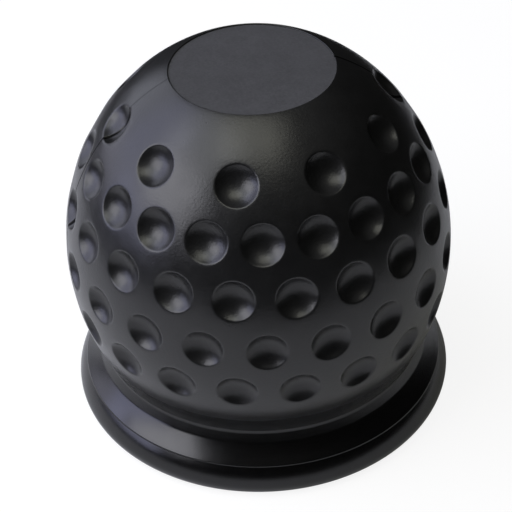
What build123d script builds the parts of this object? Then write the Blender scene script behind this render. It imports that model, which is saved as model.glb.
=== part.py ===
from build123d import *
import math
import os

# Tow ball cover: one hollow rubber moulding that is pressed over a 50 mm tow ball.
# Millimetres, +Z up, origin at the centre of the flat underside that the cover stands on.
# The halves of the mould part in the XZ plane, and the ball's centre is level with the dome's widest place.

# Ball socket, its narrower mouth and the flared way in
BALL_DIAMETER = 50.0
BALL_CLEARANCE = 0.3
MOUTH_GRIP = 5.5
LEAD_IN_HEIGHT = 8.4

# Dome, from the ball's clearance outwards, and the flat pad sunk into the top of it
DOME_WALL = 7.8
ROOF_WALL = 8.9
PAD_DIAMETER = 27.0
PAD_RECESS = 0.25
SKIRT_HEIGHT = 14.4
SKIRT_EDGE_ROUND = 1.6

# Neck: a groove under the dome's edge, with a rounded ledge at its foot
GROOVE_DEPTH = 2.2
GROOVE_HEIGHT = 3.8
LEDGE_WIDTH = 1.45
LEDGE_THICKNESS = 1.95
LEDGE_ROUND = 0.6

# Foot: a slightly hollow flare down to a crest, then a fine notch and the round lip below it
FLARE_RISE = 3.9
FLARE_HOLLOW = 0.12
CREST_OVERHANG = 0.3
CREST_ROUND = 0.4
NOTCH_HEIGHT = 0.65
NOTCH_DEPTH = 0.28
LIP_OVERHANG = 0.42
LIP_HEIGHT = 5.2
LIP_SIDE_ROUND = 5.0
LIP_ROUND = 2.6
FOOT_RING_WIDTH = 4.0

# Dimples: the angle of each row on the dome's ellipse, from the widest place up
DIMPLE_DIAMETER = 6.8
DIMPLE_DEPTH = 1.6
ROW_ANGLES = (46.8, 32.3, 18.2, 3.9, -9.6)
TOP_ROW_DIMPLES = 10
ROW_DIMPLES = 20

# Sizes that follow from those above
socket_radius = BALL_DIAMETER / 2 + BALL_CLEARANCE
mouth_radius = (BALL_DIAMETER - MOUTH_GRIP) / 2
dome_radius = socket_radius + DOME_WALL
pad_radius = PAD_DIAMETER / 2
lip_radius = dome_radius + LIP_OVERHANG
lip_centre = lip_radius - LIP_ROUND
lip_side_angle = math.asin((LIP_HEIGHT - LIP_ROUND) / LIP_SIDE_ROUND)
lip_top_radius = lip_radius - LIP_SIDE_ROUND * (1 - math.cos(lip_side_angle))
notch_radius = lip_top_radius - NOTCH_DEPTH
crest_radius = lip_top_radius + CREST_OVERHANG

# Heights, stacked from the underside up
crest_height = LIP_HEIGHT + NOTCH_HEIGHT
ledge_bottom = crest_height + FLARE_RISE
ledge_top = ledge_bottom + LEDGE_THICKNESS
skirt_bottom = ledge_top + GROOVE_HEIGHT
equator = skirt_bottom + SKIRT_HEIGHT
pad_floor = equator + socket_radius + ROOF_WALL
rim_height = pad_floor + PAD_RECESS

# The dome is half an ellipse, as tall as brings it to the rim round the pad
dome_rise = (rim_height - equator) / math.sqrt(1 - (pad_radius / dome_radius) ** 2)
skirt_radius = dome_radius * math.sqrt(1 - (SKIRT_HEIGHT / dome_rise) ** 2)
neck_radius = skirt_radius - GROOVE_DEPTH
ledge_radius = neck_radius + LEDGE_WIDTH


def outer_body():
    """The cover without its socket and dimples: one profile turned about the Z axis."""
    skirt_angle = math.degrees(math.asin(SKIRT_HEIGHT / dome_rise))
    pad_angle = math.degrees(math.acos(pad_radius / dome_radius))
    side_centre = (lip_radius - LIP_SIDE_ROUND, LIP_ROUND)
    with BuildPart() as body:
        with BuildSketch(Plane.XZ) as half:
            with BuildLine():
                Polyline((0, 0), (0, pad_floor), (pad_radius, pad_floor), (pad_radius, rim_height))
                EllipticalCenterArc(
                    (0, equator), dome_radius, dome_rise, -skirt_angle, arc_size=skirt_angle + pad_angle
                )
                Polyline(
                    (skirt_radius, skirt_bottom),
                    (neck_radius, skirt_bottom),
                    (neck_radius, ledge_top),
                    (ledge_radius, ledge_top),
                    (ledge_radius, ledge_bottom),
                )
                SagittaArc((ledge_radius, ledge_bottom), (crest_radius, crest_height), -FLARE_HOLLOW)
                Polyline(
                    (crest_radius, crest_height),
                    (notch_radius, LIP_HEIGHT),
                    (lip_top_radius, LIP_HEIGHT),
                )
                CenterArc(side_centre, LIP_SIDE_ROUND, 0, math.degrees(lip_side_angle))
                CenterArc((lip_centre, LIP_ROUND), LIP_ROUND, -90, 90)
                Line((lip_centre, 0), (0, 0))
            make_face()
            edge_rounds = (
                ((skirt_radius, skirt_bottom), min(SKIRT_EDGE_ROUND, GROOVE_DEPTH)),
                ((ledge_radius, ledge_top), min(LEDGE_ROUND, LEDGE_WIDTH / 2, LEDGE_THICKNESS / 2)),
                ((crest_radius, crest_height), min(CREST_ROUND, NOTCH_HEIGHT)),
            )
            for corner, radius in edge_rounds:
                fillet(half.vertices().sort_by_distance(corner)[0], radius)
        revolve(axis=Axis.Z)
    return body.part


def socket_core():
    """What the socket takes out: the ball's seat, the narrower mouth and the flared way in."""
    seat_angle = math.degrees(math.acos(mouth_radius / socket_radius))
    seat_bottom = equator - math.sqrt(socket_radius**2 - mouth_radius**2)
    way_in_radius = lip_centre - FOOT_RING_WIDTH
    with BuildPart() as core:
        with BuildSketch(Plane.XZ):
            with BuildLine():
                CenterArc((0, equator), socket_radius, -seat_angle, 90 + seat_angle)
                Polyline(
                    (mouth_radius, seat_bottom),
                    (mouth_radius, LEAD_IN_HEIGHT),
                    (way_in_radius, 0),
                    (0, 0),
                    (0, equator + socket_radius),
                )
            make_face()
        revolve(axis=Axis.Z)
    return core.part


def dimple_balls():
    """One ball for each dimple, centred on the dome's normal so that it cuts a cup of the stated size."""
    ball_radius = ((DIMPLE_DIAMETER / 2) ** 2 + DIMPLE_DEPTH**2) / (2 * DIMPLE_DEPTH)
    balls = []
    for row, row_angle in enumerate(ROW_ANGLES):
        angle = math.radians(row_angle)
        surface = Vector(dome_radius * math.cos(angle), 0, equator + dome_rise * math.sin(angle))
        normal = Vector(math.cos(angle) / dome_radius, 0, math.sin(angle) / dome_rise).normalized()
        seat = Plane(surface + normal * (ball_radius - DIMPLE_DEPTH), x_dir=normal, z_dir=(0, 1, 0))
        ball = seat * Sphere(ball_radius)
        count = TOP_ROW_DIMPLES if row == 0 else ROW_DIMPLES
        half_step = 180 / ROW_DIMPLES if row % 2 else 0
        balls += [Rotation(0, 0, half_step + index * 360 / count) * ball for index in range(count)]
    return balls


ball_cover = outer_body() - socket_core() - dimple_balls()
os.makedirs("parts", exist_ok=True)
export_step(ball_cover, "parts/ball_cover.step")
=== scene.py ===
"""Looks of a tow ball cover: one dimpled rubber moulding, its finishes, a pale studio and the camera.

Sizes in the classes are millimetres and degrees unless they say otherwise, and Blender's own units are
metres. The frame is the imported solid's: +Z up, the origin in the middle of the flat underside, the mould's
parting plane through the X and Z axes, and the front towards -Y.
"""

from __future__ import annotations

import logging
import math
from dataclasses import dataclass, field
from enum import Enum, IntEnum
from typing import Iterable, Sequence

import bmesh
import bpy
import numpy as np
from mathutils import Matrix, Vector

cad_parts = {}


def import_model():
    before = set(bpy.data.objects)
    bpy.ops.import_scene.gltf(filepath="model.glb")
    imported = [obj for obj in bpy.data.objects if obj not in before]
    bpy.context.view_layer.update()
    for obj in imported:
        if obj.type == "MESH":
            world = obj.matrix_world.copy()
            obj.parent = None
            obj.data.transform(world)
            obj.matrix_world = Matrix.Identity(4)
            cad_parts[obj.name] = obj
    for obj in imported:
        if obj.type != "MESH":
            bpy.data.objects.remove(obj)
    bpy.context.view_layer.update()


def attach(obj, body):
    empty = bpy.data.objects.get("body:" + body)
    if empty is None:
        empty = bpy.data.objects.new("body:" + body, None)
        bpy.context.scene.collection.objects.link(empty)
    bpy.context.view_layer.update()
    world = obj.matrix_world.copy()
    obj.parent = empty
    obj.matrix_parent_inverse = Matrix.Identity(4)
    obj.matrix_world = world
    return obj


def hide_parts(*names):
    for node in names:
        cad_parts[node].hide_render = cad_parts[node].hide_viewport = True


LOG = logging.getLogger("tow_ball_cover")
MM = 0.001
WELD_MM = 0.002
SHARP_DEGREES = 60.0
NOISE_MIDDLE = 0.5
IMAGE_PIXELS = 512
SENSOR_MM = 36.0

Point2 = tuple[float, float]
Colour = tuple[float, float, float]
Array = np.ndarray
Face = tuple[int, ...]
Patch = tuple[Array, list[Face]]
Socket = bpy.types.NodeSocket


class Surface(IntEnum):
    """Parts of the moulding that have a finish of their own, in the order of the mesh's material slots."""

    SHELL = 0
    PAD = 1
    SOCKET = 2
    FOOT = 3


class Lamp(Enum):
    """Lamps of the studio, by where they hang."""

    WINDOW = "left_window"
    BACK_WINDOW = "back_left_window"
    FAR_WINDOW = "far_left_window"
    LOW = "low_left_panel"
    LOW_BACK = "low_back_left_panel"
    UPPER = "upper_left_panel"
    TOP = "top_panel"


@dataclass(frozen=True)
class Egg:
    """The dome's outer surface: an ellipse turned about the Z axis.

    Args:
        radius: widest radius.
        rise: half axis along Z.
        centre: height of the widest place.
    """

    radius: float
    rise: float
    centre: float

    @property
    def half_axes(self) -> Array:
        """Half axes along X, Y and Z."""
        return np.array([self.radius, self.radius, self.rise])

    @property
    def middle(self) -> Array:
        """The egg's centre."""
        return np.array([0.0, 0.0, self.centre])

    def outline(self, start: float, end: float, spans: int) -> list[Point2]:
        """Points along the ellipse in a half section.

        Args:
            start: first angle above the widest place, in radians.
            end: last angle.
            spans: number of spans.

        Returns:
            Radius and height of each point, ends included.
        """
        angles = np.linspace(start, end, spans + 1)
        return [
            (self.radius * math.cos(angle), self.centre + self.rise * math.sin(angle)) for angle in angles
        ]

    def point(self, angle: Array, turn: Array) -> Array:
        """Points on the surface.

        Args:
            angle: angle on the ellipse above the widest place, in radians.
            turn: angle about the Z axis from +X, in radians.

        Returns:
            An array of points, one row each.
        """
        across = self.radius * np.cos(angle)
        return np.stack(
            [across * np.cos(turn), across * np.sin(turn), self.centre + self.rise * np.sin(angle)], axis=-1
        )

    def scaled(self, points: Array) -> Array:
        """Points in coordinates in which the surface is a unit sphere about the origin."""
        return (points - self.middle) / self.half_axes

    def seated(self, points: Array) -> Array:
        """Moves points onto the surface along the line to its centre.

        Args:
            points: points near the surface.

        Returns:
            The points on the surface.
        """
        unit = self.scaled(points)
        unit = unit / np.linalg.norm(unit, axis=-1, keepdims=True)
        return unit * self.half_axes + self.middle

    def dropped(self, points: Array, normal: Array) -> Array:
        """Moves points onto the surface along one direction.

        Args:
            points: points near the surface.
            normal: the direction, pointing outwards.

        Returns:
            The points on the surface.
        """
        start = self.scaled(points)
        step = normal / self.half_axes
        along = start @ step
        square = step @ step
        reach = along**2 - square * ((start**2).sum(-1) - 1.0)
        travel = (np.sqrt(np.maximum(reach, 0.0)) - along) / square
        return points + travel[..., None] * normal


@dataclass(frozen=True)
class Dimple:
    """A round cup with a softly broken rim.

    Args:
        diameter: width at the rim.
        depth: depth in the middle.
        rim_round: size of the rounding at the rim.
    """

    diameter: float
    depth: float
    rim_round: float

    @property
    def ball(self) -> float:
        """Radius of the ball that fits the cup."""
        return ((self.diameter / 2) ** 2 + self.depth**2) / (2 * self.depth)

    def height(self, distance: Array, extra: Array) -> Array:
        """Heights over the dome at distances from the cup's middle, where it is deeper by an extra depth."""
        cup = self.ball - self.depth - np.sqrt(self.ball**2 - distance**2) - extra
        return (cup - np.sqrt(cup**2 + self.rim_round**2)) / 2


@dataclass(frozen=True)
class PartingStep:
    """A step across the dimples on the parting line, where the halves of the mould don't quite agree.

    Args:
        depth: how much deeper the front half of the cup is.
        width: width of the step.
        gather: distance from the step within which the mesh closes up to it.
        pull: how far it closes up, from 0 to 1.
    """

    depth: float
    width: float
    gather: float
    pull: float

    def gathered(self, side: Array) -> Array:
        """Distances from the parting plane, drawn in towards it so that the step comes out sharp."""
        return side * (1 - self.pull * np.exp(-((side / self.gather) ** 2)))

    def extra(self, side: Array) -> Array:
        """Extra depth at distances in front of the parting plane."""
        return self.depth * np.clip(0.5 + side / self.width, 0.0, 1.0)


@dataclass(frozen=True)
class DimpleRow:
    """A row of dimples round the dome, each in the middle of a tile of the surface.

    Args:
        angle: angle of the dimples on the egg.
        low: angle of the tiles' lower side.
        high: angle of the tiles' upper side.
        count: dimples in the row.
        offset: angle of the first dimple about the Z axis.
    """

    angle: float
    low: float
    high: float
    count: int
    offset: float


@dataclass(frozen=True)
class Seat:
    """Where a dimple sits: its middle, the normal there and the directions round and up the dome."""

    middle: Array
    normal: Array
    east: Array
    north: Array


@dataclass
class MeshParts:
    """Points and faces that are gathered patch by patch into one mesh."""

    points: list[Array] = field(default_factory=list)
    faces: list[Face] = field(default_factory=list)
    surfaces: list[int] = field(default_factory=list)
    total: int = 0

    def add(self, points: Array, faces: Iterable[Face], surface: Surface) -> None:
        """Adds a patch.

        Args:
            points: the patch's points, one row each.
            faces: its faces, as indices into those points.
            surface: the part of the moulding that it belongs to.
        """
        for face in faces:
            self.faces.append(tuple(index + self.total for index in face))
            self.surfaces.append(int(surface))
        self.points.append(points)
        self.total += len(points)

    def to_object(self, name: str) -> bpy.types.Object:
        """Welds the patches into one closed mesh that is smooth but for its sharp corners.

        Args:
            name: the new object's name.

        Returns:
            The object, linked to the scene.
        """
        mesh = bpy.data.meshes.new(name)
        points = np.concatenate(self.points) * MM
        mesh.from_pydata(points.tolist(), [], self.faces)
        mesh.polygons.foreach_set("material_index", self.surfaces)
        work = bmesh.new()
        work.from_mesh(mesh)
        bmesh.ops.remove_doubles(work, verts=work.verts, dist=WELD_MM * MM)
        bmesh.ops.recalc_face_normals(work, faces=work.faces)
        open_edges = sum(1 for edge in work.edges if not edge.is_manifold)
        triangles = sum(len(face.verts) - 2 for face in work.faces)
        work.to_mesh(mesh)
        work.free()
        mesh.polygons.foreach_set("use_smooth", [True] * len(mesh.polygons))
        mesh.set_sharp_from_angle(angle=math.radians(SHARP_DEGREES))
        piece = bpy.data.objects.new(name, mesh)
        bpy.context.scene.collection.objects.link(piece)
        LOG.info("%s: %d triangles, %d open edges", name, triangles, open_edges)
        return piece


@dataclass(frozen=True)
class Corner:
    """A corner of a half section.

    Args:
        radius: distance from the Z axis.
        height: height over the underside.
        broken: radius of the arc that breaks the corner, or 0 for a plain one.
    """

    radius: float
    height: float
    broken: float = 0.0

    @property
    def place(self) -> Point2:
        """Radius and height of the corner."""
        return self.radius, self.height


def arc_points(centre: Point2, radius: float, start: float, end: float, spans: int) -> list[Point2]:
    """Points along a circular arc of a half section.

    Args:
        centre: the arc's centre, as radius and height.
        radius: the arc's radius.
        start: first angle, in degrees from the outward direction.
        end: last angle.
        spans: number of spans.

    Returns:
        The points, ends included.
    """
    angles = np.radians(np.linspace(start, end, spans + 1))
    return [(centre[0] + radius * math.cos(angle), centre[1] + radius * math.sin(angle)) for angle in angles]


def bowed_points(start: Point2, end: Point2, bow: float, spans: int) -> list[Point2]:
    """Points along a flat arc between two points.

    Args:
        start: first point, as radius and height.
        end: last point.
        bow: how far the arc's middle is from the straight line, to its right.
        spans: number of spans.

    Returns:
        The points, ends included.
    """
    chord = Vector(end) - Vector(start)
    aside = Vector((chord.y, -chord.x)).normalized()
    shares = np.linspace(0.0, 1.0, spans + 1)
    return [
        tuple(Vector(start) + chord * share + aside * (4 * bow * share * (1 - share))) for share in shares
    ]


def rounded_points(corners: Sequence[Corner], spans: int) -> list[Point2]:
    """Straight runs from corner to corner, with each broken corner turned into an arc.

    Args:
        corners: the corners in order.
        spans: spans in each arc.

    Returns:
        The points of the path, from the first corner to the last.
    """
    path: list[Point2] = []
    for index, corner in enumerate(corners):
        here = Vector(corner.place)
        if not corner.broken:
            path.append(tuple(here))
            continue
        back = (Vector(corners[index - 1].place) - here).normalized()
        ahead = (Vector(corners[index + 1].place) - here).normalized()
        half = back.angle(ahead) / 2
        middle = here + (back + ahead).normalized() * (corner.broken / math.sin(half))
        run = corner.broken / math.tan(half)
        first = here + back * run - middle
        last = here + ahead * run - middle
        turn = first.angle_signed(last)
        for span in range(spans + 1):
            spoke = first.copy()
            spoke.rotate(Matrix.Rotation(-turn * span / spans, 2))
            path.append(tuple(middle + spoke))
    return path


@dataclass
class BallCover:
    """The cover: a dimpled dome with a sunk pad, a hollow neck, a flared foot and a ball socket inside."""

    # Ball socket, its narrower mouth, the flared way in and the flat ring round it
    socket_radius: float = 25.3
    mouth_radius: float = 22.25
    lead_in_height: float = 8.4
    foot_ring_width: float = 4.0
    ring_edge_round: float = 0.6
    mouth_edge_round: float = 1.2
    seat_edge_round: float = 0.5

    # Dome, and the pad sunk into the top of it
    dome_radius: float = 33.1
    equator: float = 29.9
    roof_wall: float = 8.9
    pad_radius: float = 13.5
    pad_recess: float = 0.25
    pad_edge_band: float = 0.2
    pad_rings: tuple[float, ...] = (9.0, 4.0)
    rim_round: float = 0.1

    # Skirt, neck, flare, crest and lip, from the dome down
    skirt_top: float = 19.5
    skirt_bow: float = 0.15
    skirt_foot: Corner = Corner(29.95, 14.7, 2.0)
    cove: Corner = Corner(28.5, 10.8, 1.2)
    flare_top: Corner = Corner(29.4, 8.9, 2.0)
    flare_hollow: float = 0.06
    crest: Corner = Corner(31.95, 6.0, 0.3)
    crest_foot: Corner = Corner(32.02, 5.78, 0.25)
    lip_bow: float = 0.17
    lip_lean: float = 11.0
    lip_overhang: float = 0.4
    lip_round: float = 2.4

    # Dimples, with the angle of each row on the egg from the widest place up
    row_angles: tuple[float, ...] = (46.8, 32.3, 18.2, 3.9, -9.6)
    top_row_dimples: int = 10
    row_dimples: int = 20
    dimple: Dimple = Dimple(diameter=6.8, depth=1.6, rim_round=0.14)
    parting_step: PartingStep = PartingStep(depth=0.3, width=0.24, gather=0.9, pull=0.93)

    # Fineness of the mesh, with the rings of a cup as shares of its radius
    tile_spans_across: int = 12
    tile_spans_up: int = 10
    cup_rings: tuple[float, ...] = (0.14, 0.3, 0.46, 0.61, 0.74, 0.84, 0.91, 0.955, 0.99, 1.025, 1.065, 1.12)
    land_rings: int = 2
    corner_spans: int = 8
    crown_spans: int = 8
    lower_dome_spans: int = 3
    skirt_spans: int = 6
    flare_spans: int = 4
    lip_side_spans: int = 6
    lip_spans: int = 14
    seat_spans: int = 22

    def __post_init__(self) -> None:
        """Works out the sizes that follow from others."""
        self.lip_radius = self.dome_radius + self.lip_overhang
        self.lip_centre = self.lip_radius - self.lip_round
        self.pad_floor = self.equator + self.socket_radius + self.roof_wall
        self.rim_height = self.pad_floor + self.pad_recess
        share = math.sqrt(1 - (self.pad_radius / self.dome_radius) ** 2)
        self.egg = Egg(self.dome_radius, (self.rim_height - self.equator) / share, self.equator)
        self.columns = self.row_dimples * self.tile_spans_across

    def rows(self) -> list[DimpleRow]:
        """The dimple rows with their tiles, which meet halfway between neighbouring rows.

        Returns:
            The rows, from the top down.
        """
        angles = self.row_angles
        halves = [(upper + lower) / 2 for upper, lower in zip(angles, angles[1:])]
        highs = [2 * angles[0] - halves[0], *halves]
        lows = [*halves, 2 * angles[-1] - halves[-1]]
        found = []
        for index, (angle, low, high) in enumerate(zip(angles, lows, highs)):
            count = self.top_row_dimples if index == 0 else self.row_dimples
            offset = 180 / self.row_dimples if index % 2 else 0.0
            found.append(DimpleRow(angle, low, high, count, offset))
        return found

    def seat(self, row: DimpleRow) -> Seat:
        """The seat of a row's dimple where the turn about Z is zero.

        Args:
            row: the row that the dimple is in.

        Returns:
            The seat.
        """
        angle = math.radians(row.angle)
        normal = np.array([math.cos(angle) / self.egg.radius, 0.0, math.sin(angle) / self.egg.rise])
        normal /= np.linalg.norm(normal)
        east = np.array([0.0, 1.0, 0.0])
        return Seat(self.egg.point(np.array(angle), np.array(0.0)), normal, east, np.cross(normal, east))

    def tile(self, row: DimpleRow, front: int) -> Patch:
        """One tile of a row, with its dimple, at the place where the turn about Z is zero.

        Args:
            row: the row that the tile is in.
            front: side of a dimple on the parting line that faces the front, 1 to its east and -1 to its
                west, or 0 for a dimple that isn't on the line.

        Returns:
            The tile's points, and its faces as indices into them.
        """
        spans = self.columns // row.count
        half = math.pi / row.count
        across = np.linspace(-half, half, spans + 1)
        up = np.radians(np.linspace(row.low, row.high, self.tile_spans_up + 1))
        side = np.full(self.tile_spans_up, half)
        turns = np.concatenate([across[:-1], side, across[:0:-1], -side])
        angles = np.concatenate([np.full(spans, up[0]), up[:-1], np.full(spans, up[-1]), up[:0:-1]])
        border = self.egg.point(angles, turns)
        seat = self.seat(row)
        bearing = np.arctan2((border - seat.middle) @ seat.north, (border - seat.middle) @ seat.east)
        rings = [self.cup_ring(seat, bearing, share, front) for share in self.cup_rings]
        for index in range(1, self.land_rings + 1):
            share = index / (self.land_rings + 1)
            rings.append(self.egg.seated(rings[len(self.cup_rings) - 1] * (1 - share) + border * share))
        rings.append(border)
        bottom = self.cup_ring(seat, np.zeros(1), 0.0, front)
        return np.concatenate([bottom, *rings]), ring_faces(len(bearing), len(rings))

    def cup_ring(self, seat: Seat, bearing: Array, share: float, front: int) -> Array:
        """A ring of points round a dimple's middle.

        Args:
            seat: where the dimple sits.
            bearing: angles of the points about the middle.
            share: the ring's radius as a share of the cup's.
            front: side that faces the front, as for a tile.

        Returns:
            The points, one row each.
        """
        reach = share * self.dimple.diameter / 2
        side = reach * np.cos(bearing)
        extra = np.zeros(len(bearing))
        if front:
            side = self.parting_step.gathered(side)
            extra = self.parting_step.extra(front * side)
        flat = seat.middle + side[:, None] * seat.east + (reach * np.sin(bearing))[:, None] * seat.north
        height = self.dimple.height(np.full(len(bearing), reach), extra)
        return self.egg.dropped(flat, seat.normal) + height[:, None] * seat.normal

    def add_dimples(self, parts: MeshParts) -> None:
        """Adds the tiles of all rows, with a step in the dimples that the parting plane cuts.

        Args:
            parts: the mesh that they go into.
        """
        for row in self.rows():
            plain = self.tile(row, 0)
            for index in range(row.count):
                turn = math.radians(row.offset + index * 360 / row.count)
                parted = row.offset == 0 and index % (row.count // 2) == 0
                points, faces = self.tile(row, -round(math.cos(turn))) if parted else plain
                parts.add(turned(points, turn), faces, Surface.SHELL)

    def crown_outline(self) -> list[Point2]:
        """Half section from the top row's tiles up over the rim and down to the pad's edge.

        Returns:
            The points in order.
        """
        rim_angle = math.acos(self.pad_radius / self.dome_radius)
        dome = self.egg.outline(math.radians(self.rows()[0].high), rim_angle, self.crown_spans)
        corners = [Corner(*point) for point in dome[:-1]]
        corners.append(Corner(self.pad_radius, self.rim_height, self.rim_round))
        corners.append(Corner(self.pad_radius, self.pad_floor))
        return rounded_points(corners, self.corner_spans)

    def pad_outline(self) -> list[Point2]:
        """Half section of the pad, from its edge to the middle."""
        radii = (self.pad_radius, self.pad_radius - self.pad_edge_band, *self.pad_rings, 0.0)
        return [(radius, self.pad_floor) for radius in radii]

    def foot_outline(self) -> list[Point2]:
        """Half section from the lowest row's tiles down the skirt, neck, flare and lip to the foot ring.

        Returns:
            The points in order.
        """
        leave = math.asin((self.skirt_top - self.equator) / self.egg.rise)
        dome = self.egg.outline(math.radians(self.rows()[-1].low), leave, self.lower_dome_spans)
        skirt = bowed_points(dome[-1], self.skirt_foot.place, -self.skirt_bow, self.skirt_spans)
        flare = bowed_points(self.flare_top.place, self.crest.place, self.flare_hollow, self.flare_spans)
        lip_middle = (self.lip_centre, self.lip_round)
        low = arc_points(lip_middle, self.lip_round, self.lip_lean, -90.0, self.lip_spans)
        side = bowed_points(self.crest_foot.place, low[0], -self.lip_bow, self.lip_side_spans)
        corners = [
            *(Corner(*point) for point in dome + skirt[1:-1]),
            self.skirt_foot,
            self.cove,
            self.flare_top,
            *(Corner(*point) for point in flare[1:-1]),
            self.crest,
            self.crest_foot,
            *(Corner(*point) for point in side[1:] + low[1:]),
        ]
        return rounded_points(corners, self.corner_spans)

    def socket_outline(self, start: Point2) -> list[Point2]:
        """Half section inside: the foot ring, the flared way in, the mouth and the ball's seat.

        Args:
            start: the outer edge of the foot ring.

        Returns:
            The points in order, up to the top of the seat.
        """
        tilt = math.degrees(math.acos(self.mouth_radius / self.socket_radius))
        seat = arc_points((0.0, self.equator), self.socket_radius, -tilt, 90.0, self.seat_spans)
        corners = [
            Corner(*start),
            Corner(self.lip_centre - self.foot_ring_width, 0.0, self.ring_edge_round),
            Corner(self.mouth_radius, self.lead_in_height, self.mouth_edge_round),
            Corner(*seat[0], self.seat_edge_round),
            *(Corner(*point) for point in seat[1:-1]),
            Corner(0.0, self.equator + self.socket_radius),
        ]
        return rounded_points(corners, self.corner_spans)

    def turned_patch(self, outline: Sequence[Point2]) -> Patch:
        """Turns a half section about the Z axis.

        Args:
            outline: radius and height of each point; a last radius of zero closes the patch.

        Returns:
            The patch's points, and its faces as indices into them.
        """
        turns = np.radians(np.arange(self.columns) * 360 / self.columns)
        closed = outline[-1][0] == 0
        rings = [
            np.stack([radius * np.cos(turns), radius * np.sin(turns), np.full(self.columns, height)], axis=-1)
            for radius, height in (outline[::-1][1:] if closed else outline[::-1])
        ]
        if closed:
            tip = np.array([[0.0, 0.0, outline[-1][1]]])
            return np.concatenate([tip, *rings]), ring_faces(self.columns, len(rings))
        points = np.concatenate(rings)
        faces = ring_faces(self.columns, len(rings))[self.columns:]
        return points, [tuple(index - 1 for index in face) for face in faces]

    def build(self) -> bpy.types.Object:
        """Makes the whole moulding as one mesh, with the foot's own finish from the skirt's lower edge down.

        Returns:
            The cover.
        """
        parts = MeshParts()
        self.add_dimples(parts)
        foot = self.foot_outline()
        split = next(index for index, (_, height) in enumerate(foot) if height < self.skirt_foot.height)
        parts.add(*self.turned_patch(self.crown_outline()), Surface.SHELL)
        parts.add(*self.turned_patch(self.pad_outline()), Surface.PAD)
        parts.add(*self.turned_patch(foot[:split + 1]), Surface.SHELL)
        parts.add(*self.turned_patch(foot[split:]), Surface.FOOT)
        parts.add(*self.turned_patch(self.socket_outline(foot[-1])), Surface.SOCKET)
        return parts.to_object("dimpled_cover")

    def dress(self, piece: bpy.types.Object, finishes: dict[Surface, bpy.types.Material]) -> None:
        """Gives each part of the moulding its finish, in the order of the material slots."""
        for surface in Surface:
            piece.data.materials.append(finishes[surface])


def ring_faces(columns: int, rings: int) -> list[Face]:
    """Faces of a round patch: a fan at point 0, then bands between rings of equal size.

    Args:
        columns: points in each ring.
        rings: number of rings.

    Returns:
        The faces as indices, with the middle first and then each ring in order.
    """
    sides = [(column, (column + 1) % columns) for column in range(columns)]
    faces: list[Face] = [(0, 1 + left, 1 + right) for left, right in sides]
    for ring in range(rings - 1):
        inner, outer = 1 + ring * columns, 1 + (ring + 1) * columns
        faces += [(inner + left, outer + left, outer + right, inner + right) for left, right in sides]
    return faces


def turned(points: Array, turn: float) -> Array:
    """Points turned about the Z axis by an angle in radians."""
    cosine, sine = math.cos(turn), math.sin(turn)
    return points @ np.array([[cosine, sine, 0.0], [-sine, cosine, 0.0], [0.0, 0.0, 1.0]])


@dataclass(frozen=True)
class Noise:
    """A noise pattern.

    Args:
        per_mm: features in each millimetre.
        layers: layers of finer noise.
    """

    per_mm: float
    layers: float


class NodeSheet:
    """A node tree with short ways to add and link nodes."""

    def __init__(self, tree: bpy.types.NodeTree) -> None:
        """Keeps the tree."""
        self.tree = tree

    def node(self, kind: str, **values: object) -> bpy.types.Node:
        """Adds a node.

        Args:
            kind: the node's type name.
            values: properties to set on it.

        Returns:
            The node.
        """
        made = self.tree.nodes.new(kind)
        for key, value in values.items():
            setattr(made, key, value)
        return made

    def link(self, source: Socket, target: Socket) -> None:
        """Joins an output to an input."""
        self.tree.links.new(source, target)

    def math(self, operation: str, *inputs: object) -> Socket:
        """A Math node.

        Args:
            operation: what it does.
            inputs: numbers or sockets, in order.

        Returns:
            Its result.
        """
        made = self.node("ShaderNodeMath", operation=operation)
        for socket, value in zip(made.inputs, inputs):
            if isinstance(value, Socket):
                self.link(value, socket)
            else:
                socket.default_value = value
        return made.outputs[0]

    def ramp(self, value: Socket, low: float, high: float, start: float, end: float) -> Socket:
        """A smooth step from one value to another.

        Args:
            value: the input.
            low: input at which the step begins.
            high: input at which it ends.
            start: result before the step.
            end: result after it.

        Returns:
            The result.
        """
        made = self.node("ShaderNodeMapRange", interpolation_type="SMOOTHSTEP", clamp=True)
        self.link(value, made.inputs["Value"])
        for name, number in (("From Min", low), ("From Max", high), ("To Min", start), ("To Max", end)):
            made.inputs[name].default_value = number
        return made.outputs["Result"]

    def noise(self, coordinates: Socket, pattern: Noise) -> Socket:
        """Noise with values about NOISE_MIDDLE.

        Args:
            coordinates: where it is read.
            pattern: its fineness.

        Returns:
            The noise.
        """
        made = self.node("ShaderNodeTexNoise")
        self.link(coordinates, made.inputs["Vector"])
        made.inputs["Scale"].default_value = pattern.per_mm / MM
        made.inputs["Detail"].default_value = pattern.layers
        return made.outputs["Fac"]

    def swing(self, coordinates: Socket, pattern: Noise) -> Socket:
        """Noise with values about zero."""
        return self.math("SUBTRACT", self.noise(coordinates, pattern), NOISE_MIDDLE)

    def blend(self, share: Socket, first: object, second: object) -> Socket:
        """A mix of two colours.

        Args:
            share: how much of the second shows.
            first: a colour or a socket.
            second: a colour or a socket.

        Returns:
            The mixed colour.
        """
        made = self.node("ShaderNodeMix", data_type="RGBA", blend_type="MIX")
        self.link(share, made.inputs["Factor"])
        for name, colour in (("A", first), ("B", second)):
            socket = next(one for one in made.inputs if one.name == name and one.type == "RGBA")
            if isinstance(colour, Socket):
                self.link(colour, socket)
            else:
                socket.default_value = (*colour, 1.0)
        return next(one for one in made.outputs if one.type == "RGBA")

    def shader_mix(self, *sources: Socket) -> Socket:
        """A mix of two shaders.

        Args:
            sources: how much of the second shader shows, then the two shaders.

        Returns:
            The mixed shader.
        """
        made = self.node("ShaderNodeMixShader")
        for source, target in zip(sources, made.inputs):
            self.link(source, target)
        return made.outputs[0]


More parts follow.
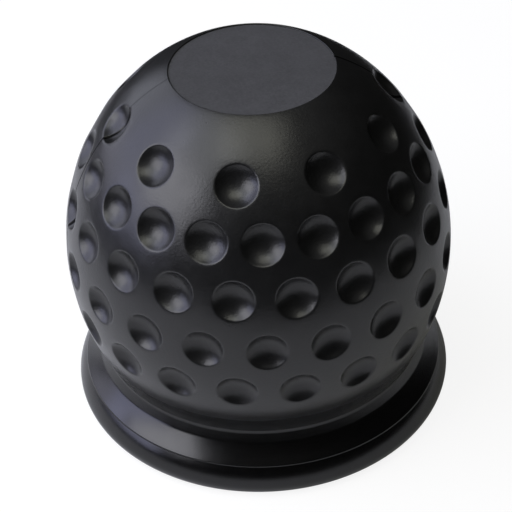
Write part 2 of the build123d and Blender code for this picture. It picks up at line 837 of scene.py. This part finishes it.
def blank_material(name: str) -> tuple[bpy.types.Material, NodeSheet]:
    """A material that has no nodes yet.

    Args:
        name: the material's name.

    Returns:
        The material and its sheet.
    """
    made = bpy.data.materials.new(name)
    made.use_nodes = True
    made.node_tree.nodes.clear()
    return made, NodeSheet(made.node_tree)


def new_group(
    name: str, inputs: dict[str, float], outputs: Sequence[str]
) -> tuple[NodeSheet, bpy.types.Node, bpy.types.Node]:
    """An empty shader node group.

    Args:
        name: the group's name.
        inputs: number inputs with their usual values.
        outputs: number outputs.

    Returns:
        The group's sheet, its input node and its output node.
    """
    tree = bpy.data.node_groups.new(name, "ShaderNodeTree")
    for key, value in inputs.items():
        socket = tree.interface.new_socket(name=key, in_out="INPUT", socket_type="NodeSocketFloat")
        socket.default_value = value
    for key in outputs:
        tree.interface.new_socket(name=key, in_out="OUTPUT", socket_type="NodeSocketFloat")
    sheet = NodeSheet(tree)
    return sheet, sheet.node("NodeGroupInput"), sheet.node("NodeGroupOutput")


@dataclass(frozen=True)
class RubberEffects:
    """Effects that the finishes share, each a shader node group.

    Args:
        fine: the grain that the mould leaves.
        waves: slow waves of height, gloss and tone.
        wave_height: height of the waves, as a share of the grain's.
        wave_tone: their share in the tone, next to the grain.
        fine_gloss: the grain's share in the gloss, next to the waves.
        pits_per_mm: small pits in each millimetre.
        pit_edge: distances from a pit's middle between which its floor rises, as shares of its cell.
        pit_depth: depth of a pit, as a share of the grain's height.
        patches: where the pits gather.
        patch_edge: values of that noise between which they appear.
        line_width: half width of the parting line.
        line_stray: how the line strays from its plane.
        stray_width: how far it strays.
        worn_span: places along X between which the line fades towards the top of its left side.
        worn_share: how much of it stays there.
    """

    fine: Noise = Noise(per_mm=2.6, layers=3.0)
    waves: Noise = Noise(per_mm=0.35, layers=2.0)
    wave_height: float = 0.4
    wave_tone: float = 0.6
    fine_gloss: float = 0.35
    pits_per_mm: float = 0.9
    pit_edge: Point2 = (0.05, 0.22)
    pit_depth: float = 0.5
    patches: Noise = Noise(per_mm=0.16, layers=2.0)
    patch_edge: Point2 = (0.5, 0.62)
    line_width: float = 0.3
    line_stray: Noise = Noise(per_mm=0.12, layers=1.0)
    stray_width: float = 0.12
    worn_span: Point2 = (-25.0, -21.0)
    worn_share: float = 0.25

    def build(self) -> dict[str, bpy.types.NodeTree]:
        """Makes the groups.

        Returns:
            The groups by name.
        """
        groups = {"mould_grain": self.mould_grain(), "parting_line": self.parting_line()}
        for name in groups:
            LOG.info("node group %s", name)
        return groups

    def mould_grain(self) -> bpy.types.NodeTree:
        """The skin that the mould leaves: fine grain, small pits and slow waves of gloss.

        Returns:
            The group.
        """
        outputs = ["Height", "Gloss", "Tone"]
        sheet, source, sink = new_group("mould_grain", {"Grain": 1.0, "Pits": 1.0}, outputs)
        place = sheet.node("ShaderNodeTexCoord").outputs["Object"]
        fine = sheet.swing(place, self.fine)
        wavy = sheet.swing(place, self.waves)
        cells = sheet.node("ShaderNodeTexVoronoi", feature="F1")
        sheet.link(place, cells.inputs["Vector"])
        cells.inputs["Scale"].default_value = self.pits_per_mm / MM
        pit = sheet.ramp(cells.outputs["Distance"], *self.pit_edge, 1.0, 0.0)
        patchy = sheet.ramp(sheet.noise(place, self.patches), *self.patch_edge, 0.0, 1.0)
        pit = sheet.math("MULTIPLY", sheet.math("MULTIPLY", pit, patchy), source.outputs["Pits"])
        grain = sheet.math("MULTIPLY", fine, source.outputs["Grain"])
        height = sheet.math("SUBTRACT", grain, sheet.math("MULTIPLY", pit, self.pit_depth))
        height = sheet.math("ADD", height, sheet.math("MULTIPLY", wavy, self.wave_height))
        gloss = sheet.math("ADD", sheet.math("MULTIPLY", fine, self.fine_gloss), wavy)
        tone = sheet.math("ADD", sheet.math("MULTIPLY", wavy, self.wave_tone), fine)
        for name, value in zip(outputs, (height, gloss, tone)):
            sheet.link(value, sink.inputs[name])
        return sheet.tree

    def parting_line(self) -> bpy.types.NodeTree:
        """The hairline where the halves of the mould meet, in the plane through the X and Z axes.

        Returns:
            The group.
        """
        inputs = {"Width mm": self.line_width, "Lowest mm": 0.0}
        sheet, source, sink = new_group("parting_line", inputs, ["Mask"])
        place = sheet.node("ShaderNodeTexCoord").outputs["Object"]
        axes = sheet.node("ShaderNodeSeparateXYZ")
        sheet.link(place, axes.inputs[0])
        stray = sheet.math("MULTIPLY", sheet.swing(place, self.line_stray), self.stray_width * MM)
        off = sheet.math("ABSOLUTE", sheet.math("ADD", axes.outputs["Y"], stray))
        width = sheet.math("MULTIPLY", source.outputs["Width mm"], MM)
        near = sheet.math("SUBTRACT", 1.0, sheet.math("MINIMUM", sheet.math("DIVIDE", off, width), 1.0))
        low = sheet.math("MULTIPLY", source.outputs["Lowest mm"], MM)
        above = sheet.math("GREATER_THAN", axes.outputs["Z"], low)
        start, end = (along * MM for along in self.worn_span)
        worn = sheet.ramp(axes.outputs["X"], start, end, 1.0, self.worn_share)
        clear = sheet.math("MAXIMUM", worn, sheet.math("GREATER_THAN", axes.outputs["X"], 0.0))
        shown = sheet.math("MULTIPLY", sheet.math("MULTIPLY", near, above), clear)
        sheet.link(shown, sink.inputs["Mask"])
        return sheet.tree


@dataclass(frozen=True)
class RubberFinish:
    """A black rubber skin.

    Args:
        name: the material's name.
        colour: base colour, linear.
        roughness: middle roughness.
        roughness_swing: how far the gloss wanders.
        grain: strength of the mould's grain.
        relief: height of the grain, in millimetres.
        pits: strength of the small pits.
        line_depth: depth of the parting line, as a share of the relief.
        line_lowest: height under which the parting line has been trimmed away.
        line_shade_tone: colour in the parting line, as a share of the base colour; painted shade of the
            line's groove.
        tones: darkest and lightest colour of the skin, as shares of the base colour.
        tone_middle: place between them where the tone is zero.
        tone_swing: how strongly the tone moves between them.
        shine: level of reflection.
        line_shade_shine: level of reflection in the parting line, lowered there as painted shade of its
            groove.
    """

    name: str
    colour: Colour
    roughness: float
    roughness_swing: float
    grain: float
    relief: float
    pits: float = 0.0
    line_depth: float = 0.0
    line_lowest: float = 0.0
    # Painted shade of the parting line's groove: a darker colour in it here, and a lowered reflection below.
    line_shade_tone: float = 0.15
    tones: Point2 = (0.6, 1.4)
    tone_middle: float = 0.5
    tone_swing: float = 0.9
    shine: float = 0.5
    line_shade_shine: float = 0.05

    def material(self, groups: dict[str, bpy.types.NodeTree]) -> bpy.types.Material:
        """Makes the material.

        Args:
            groups: the shared effects.

        Returns:
            The material.
        """
        made, sheet = blank_material(self.name)
        shader = sheet.node("ShaderNodeBsdfPrincipled")
        sheet.link(shader.outputs[0], sheet.node("ShaderNodeOutputMaterial").inputs["Surface"])
        grain = sheet.node("ShaderNodeGroup", node_tree=groups["mould_grain"])
        grain.inputs["Grain"].default_value = self.grain
        grain.inputs["Pits"].default_value = self.pits
        line = sheet.node("ShaderNodeGroup", node_tree=groups["parting_line"])
        line.inputs["Lowest mm"].default_value = self.line_lowest
        # The parting line sinks a real groove through the bump; its darker colour and lowered reflection are
        # painted shade of that groove.
        depth = sheet.math("MULTIPLY", line.outputs["Mask"], self.line_depth)
        line_shade_mask = sheet.math("MINIMUM", depth, 1.0)
        sheet.link(self.colouring(sheet, grain.outputs["Tone"], line_shade_mask), shader.inputs["Base Color"])
        rough = sheet.math("MULTIPLY_ADD", grain.outputs["Gloss"], self.roughness_swing, self.roughness)
        sheet.link(rough, shader.inputs["Roughness"])
        shine = sheet.math("MULTIPLY_ADD", line_shade_mask, self.line_shade_shine - self.shine, self.shine)
        sheet.link(shine, shader.inputs["Specular IOR Level"])
        bump = sheet.node("ShaderNodeBump")
        bump.inputs["Distance"].default_value = self.relief * MM
        sheet.link(sheet.math("SUBTRACT", grain.outputs["Height"], depth), bump.inputs["Height"])
        sheet.link(bump.outputs["Normal"], shader.inputs["Normal"])
        LOG.info("finish %s", self.name)
        return made

    def colouring(self, sheet: NodeSheet, tone: Socket, line_shade_mask: Socket) -> Socket:
        """The rubber's own colour, lighter and darker with its tone, and darkened in the parting line as
        painted shade of its groove.

        Args:
            sheet: the material's nodes.
            tone: value about zero.
            line_shade_mask: how much of the parting line's painted shade shows.

        Returns:
            The base colour.
        """
        # The third colour is the parting line's painted shade, a darker copy of the base colour.
        shares = (*self.tones, self.line_shade_tone)
        darkest, lightest, line = (tuple(channel * share for channel in self.colour) for share in shares)
        share = sheet.math("MULTIPLY_ADD", tone, self.tone_swing, self.tone_middle)
        return sheet.blend(line_shade_mask, sheet.blend(share, darkest, lightest), line)


def rubber_finishes() -> dict[Surface, RubberFinish]:
    """The finish of each part of the moulding.

    Returns:
        The finishes.
    """
    shell = RubberFinish(
        "moulded_rubber",
        colour=(0.008, 0.008, 0.0082), roughness=0.31, roughness_swing=0.12, grain=1.0, relief=0.022,
        pits=0.4, line_depth=2.2, line_lowest=15.5,
    )
    pad = RubberFinish(
        "pad_rubber",
        colour=(0.05, 0.05, 0.054), roughness=0.65, roughness_swing=0.08, grain=0.6, relief=0.012,
    )
    foot = RubberFinish(
        "foot_rubber",
        colour=(0.001, 0.001, 0.001), roughness=0.23, roughness_swing=0.08, grain=0.6, relief=0.012,
    )
    socket = RubberFinish(
        "socket_rubber",
        colour=(0.004, 0.004, 0.0042), roughness=0.5, roughness_swing=0.1, grain=0.8, relief=0.02,
        pits=0.3,
    )
    return {Surface.SHELL: shell, Surface.PAD: pad, Surface.FOOT: foot, Surface.SOCKET: socket}


def heading(azimuth: float, elevation: float) -> Vector:
    """Unit direction at an azimuth from the front towards +X and an elevation over the horizon."""
    turn, tilt = math.radians(azimuth), math.radians(elevation)
    return Vector((math.sin(turn) * math.cos(tilt), -math.cos(turn) * math.cos(tilt), math.sin(tilt)))


@dataclass(frozen=True)
class SoftBox:
    """A flat lamp that faces the cover.

    Args:
        role: the lamp's place.
        azimuth: direction from the cover, from the front towards +X.
        elevation: height over the horizon.
        spread: width and height, as angles seen from the cover.
        radiance: brightness of its face.
        colour: its colour.
        reach: distance from the cover, in metres.
    """

    role: Lamp
    azimuth: float
    elevation: float
    spread: Point2
    radiance: float
    colour: Colour
    reach: float = 0.6

    def hang(self, target: Vector) -> bpy.types.Object:
        """Puts the lamp in the scene.

        Args:
            target: the point it faces.

        Returns:
            The lamp.
        """
        out = heading(self.azimuth, self.elevation)
        data = bpy.data.lights.new(self.role.value, "AREA")
        data.shape = "RECTANGLE"
        data.size, data.size_y = (2 * self.reach * math.tan(math.radians(angle) / 2) for angle in self.spread)
        data.energy = self.radiance * math.pi * data.size * data.size_y
        data.color = self.colour
        lamp = bpy.data.objects.new(self.role.value, data)
        lamp.location = target + out * self.reach
        lamp.rotation_euler = (-out).to_track_quat("-Z", "Y").to_euler()
        lamp.visible_camera = False
        bpy.context.scene.collection.objects.link(lamp)
        LOG.info("lamp %s", self.role.value)
        return lamp


@dataclass
class Studio:
    """Pale floor, white surroundings for the camera and soft lamps.

    Args:
        floor_size: side of the square floor, in metres.
        floor_gap: how far the floor is under the cover, in metres.
        floor_grey: how pale the floor is to light.
        seen_grey: how pale it is to the camera, which lets the shadow show.
        seen_glow: its glow to the camera, which makes it look white.
        surround_low: brightness of the surroundings low down.
        surround_high: their brightness overhead.
        surround_rise: elevations between which the brightness rises.
        boxes: the lamps.
    """

    floor_size: float = 0.3
    floor_gap: float = 0.0001
    floor_grey: float = 0.85
    seen_grey: float = 0.15
    seen_glow: float = 0.88
    surround_low: float = 0.02
    surround_high: float = 0.2
    surround_rise: Point2 = (30.0, 65.0)
    boxes: tuple[SoftBox, ...] = (
        SoftBox(Lamp.WINDOW, -75.0, 32.0, (38.0, 28.0), 4.4, (1.0, 1.0, 1.08)),
        SoftBox(Lamp.BACK_WINDOW, -115.0, 36.0, (31.0, 44.0), 1.85, (0.97, 1.0, 1.34)),
        SoftBox(Lamp.FAR_WINDOW, -147.0, 24.0, (24.0, 40.0), 1.4, (0.97, 1.0, 1.15)),
        SoftBox(Lamp.LOW, -92.0, 10.0, (40.0, 14.0), 2.3, (0.97, 1.0, 1.4)),
        SoftBox(Lamp.LOW_BACK, -126.0, 7.0, (28.0, 14.0), 1.5, (1.0, 1.0, 1.2)),
        SoftBox(Lamp.UPPER, -80.0, 60.0, (42.0, 28.0), 2.0, (0.97, 1.0, 1.06)),
        SoftBox(Lamp.TOP, -20.0, 76.0, (36.0, 30.0), 2.1, (1.0, 1.0, 0.88)),
    )

    def build(self, target: Vector) -> None:
        """Sets up the floor, the surroundings and the lamps.

        Args:
            target: the point that the lamps face.
        """
        self.floor()
        self.surroundings()
        for box in self.boxes:
            box.hang(target)

    def floor(self) -> bpy.types.Object:
        """A pale floor that looks white to the camera, keeps a soft shadow and can't be seen from below.

        Returns:
            The floor.
        """
        half = self.floor_size / 2
        mesh = bpy.data.meshes.new("floor")
        corners = [(-half, -half), (half, -half), (half, half), (-half, half)]
        mesh.from_pydata([(x, y, -self.floor_gap) for x, y in corners], [], [(0, 1, 2, 3)])
        floor = bpy.data.objects.new("floor", mesh)
        bpy.context.scene.collection.objects.link(floor)
        mesh.materials.append(self.floor_finish())
        return floor

    def floor_finish(self) -> bpy.types.Material:
        """The floor's material: pale to light, white with a soft shadow to the camera, clear from below.

        Returns:
            The material.
        """
        made, sheet = blank_material("pale_floor")
        path = sheet.node("ShaderNodeLightPath")
        back = sheet.node("ShaderNodeNewGeometry").outputs["Backfacing"]
        matt = sheet.node("ShaderNodeBsdfDiffuse")
        matt.inputs["Color"].default_value = (self.floor_grey,) * 3 + (1.0,)
        glow = sheet.node("ShaderNodeEmission")
        glow.inputs["Strength"].default_value = self.seen_glow
        shade = sheet.node("ShaderNodeBsdfDiffuse")
        shade.inputs["Color"].default_value = (self.seen_grey,) * 3 + (1.0,)
        seen = sheet.node("ShaderNodeAddShader")
        sheet.link(glow.outputs[0], seen.inputs[0])
        sheet.link(shade.outputs[0], seen.inputs[1])
        top = sheet.shader_mix(path.outputs["Is Camera Ray"], matt.outputs[0], seen.outputs[0])
        clear = sheet.node("ShaderNodeBsdfTransparent").outputs[0]
        whole = sheet.shader_mix(back, top, clear)
        sheet.link(whole, sheet.node("ShaderNodeOutputMaterial").inputs["Surface"])
        return made

    def surroundings(self) -> None:
        """White to the camera, and to everything else a dim grey that is lighter overhead."""
        world = bpy.data.worlds.new("surroundings")
        world.use_nodes = True
        world.node_tree.nodes.clear()
        sheet = NodeSheet(world.node_tree)
        path = sheet.node("ShaderNodeLightPath")
        axes = sheet.node("ShaderNodeSeparateXYZ")
        sheet.link(sheet.node("ShaderNodeTexCoord").outputs["Generated"], axes.inputs[0])
        start, end = (math.sin(math.radians(angle)) for angle in self.surround_rise)
        dim = sheet.node("ShaderNodeBackground")
        grey = sheet.ramp(axes.outputs["Z"], start, end, self.surround_low, self.surround_high)
        sheet.link(grey, dim.inputs["Strength"])
        white = sheet.node("ShaderNodeBackground")
        white.inputs["Color"].default_value = (1.0, 1.0, 1.0, 1.0)
        whole = sheet.shader_mix(path.outputs["Is Camera Ray"], dim.outputs[0], white.outputs[0])
        sheet.link(whole, sheet.node("ShaderNodeOutputWorld").inputs["Surface"])
        bpy.context.scene.world = world


@dataclass(frozen=True)
class PhotoCamera:
    """The camera that took the photograph, as fitted to it.

    Args:
        azimuth: direction round the cover, with zero looking along +Y.
        elevation: height over the horizon.
        distance: from the lens to the target, in millimetres.
        focal_pixels: focal length in pixels of the square image.
        roll: tilt about the line of sight.
        target_height: height of the target on the Z axis, in millimetres.
        target_pixel: where the target is in the image.
        nearest: distance from which things are shown, in millimetres.
    """

    azimuth: float = -10.24
    elevation: float = 38.11
    distance: float = 280.0
    focal_pixels: float = 1616.5
    roll: float = 2.22
    target_height: float = 30.4
    target_pixel: Point2 = (258.47, 233.85)
    nearest: float = 10.0

    def place(self) -> bpy.types.Object:
        """Makes the camera and aims it so that the target falls on its pixel without a shifted lens.

        Returns:
            The camera.
        """
        back = heading(self.azimuth, self.elevation)
        turn, roll = math.radians(self.azimuth), math.radians(self.roll)
        level = Vector((math.cos(turn), math.sin(turn), 0.0))
        fall = (-back).cross(level)
        right = level * math.cos(roll) + fall * math.sin(roll)
        down = fall * math.cos(roll) - level * math.sin(roll)
        middle = IMAGE_PIXELS / 2
        aside = (middle - self.target_pixel[0]) / self.focal_pixels
        below = (middle - self.target_pixel[1]) / self.focal_pixels
        sight = (-back + right * aside + down * below).normalized()
        right = (right - sight * right.dot(sight)).normalized()
        up = right.cross(sight)
        data = bpy.data.cameras.new("camera")
        data.sensor_width = SENSOR_MM
        data.lens = SENSOR_MM * self.focal_pixels / IMAGE_PIXELS
        data.clip_start = self.nearest * MM
        camera = bpy.data.objects.new("camera", data)
        eye = Vector((0.0, 0.0, self.target_height * MM)) + back * self.distance * MM
        axes = Matrix((right, up, -sight)).transposed().to_4x4()
        camera.matrix_world = Matrix.Translation(eye) @ axes
        bpy.context.scene.collection.objects.link(camera)
        bpy.context.scene.camera = camera
        return camera


def main() -> None:
    """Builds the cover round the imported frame, dresses it and sets the studio and the camera."""
    logging.basicConfig(level=logging.INFO, format="%(name)s: %(message)s")
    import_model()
    bpy.context.scene.view_settings.view_transform = "Standard"

    cover = BallCover()
    groups = RubberEffects().build()
    piece = cover.build()
    cover.dress(piece, {surface: finish.material(groups) for surface, finish in rubber_finishes().items()})
    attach(piece, "root")
    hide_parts("ball_cover")
    LOG.info("piece %s rides on root", piece.name)

    Studio().build(Vector((0.0, 0.0, cover.equator * MM)))
    PhotoCamera().place()


if __name__ == "__main__":
    main()
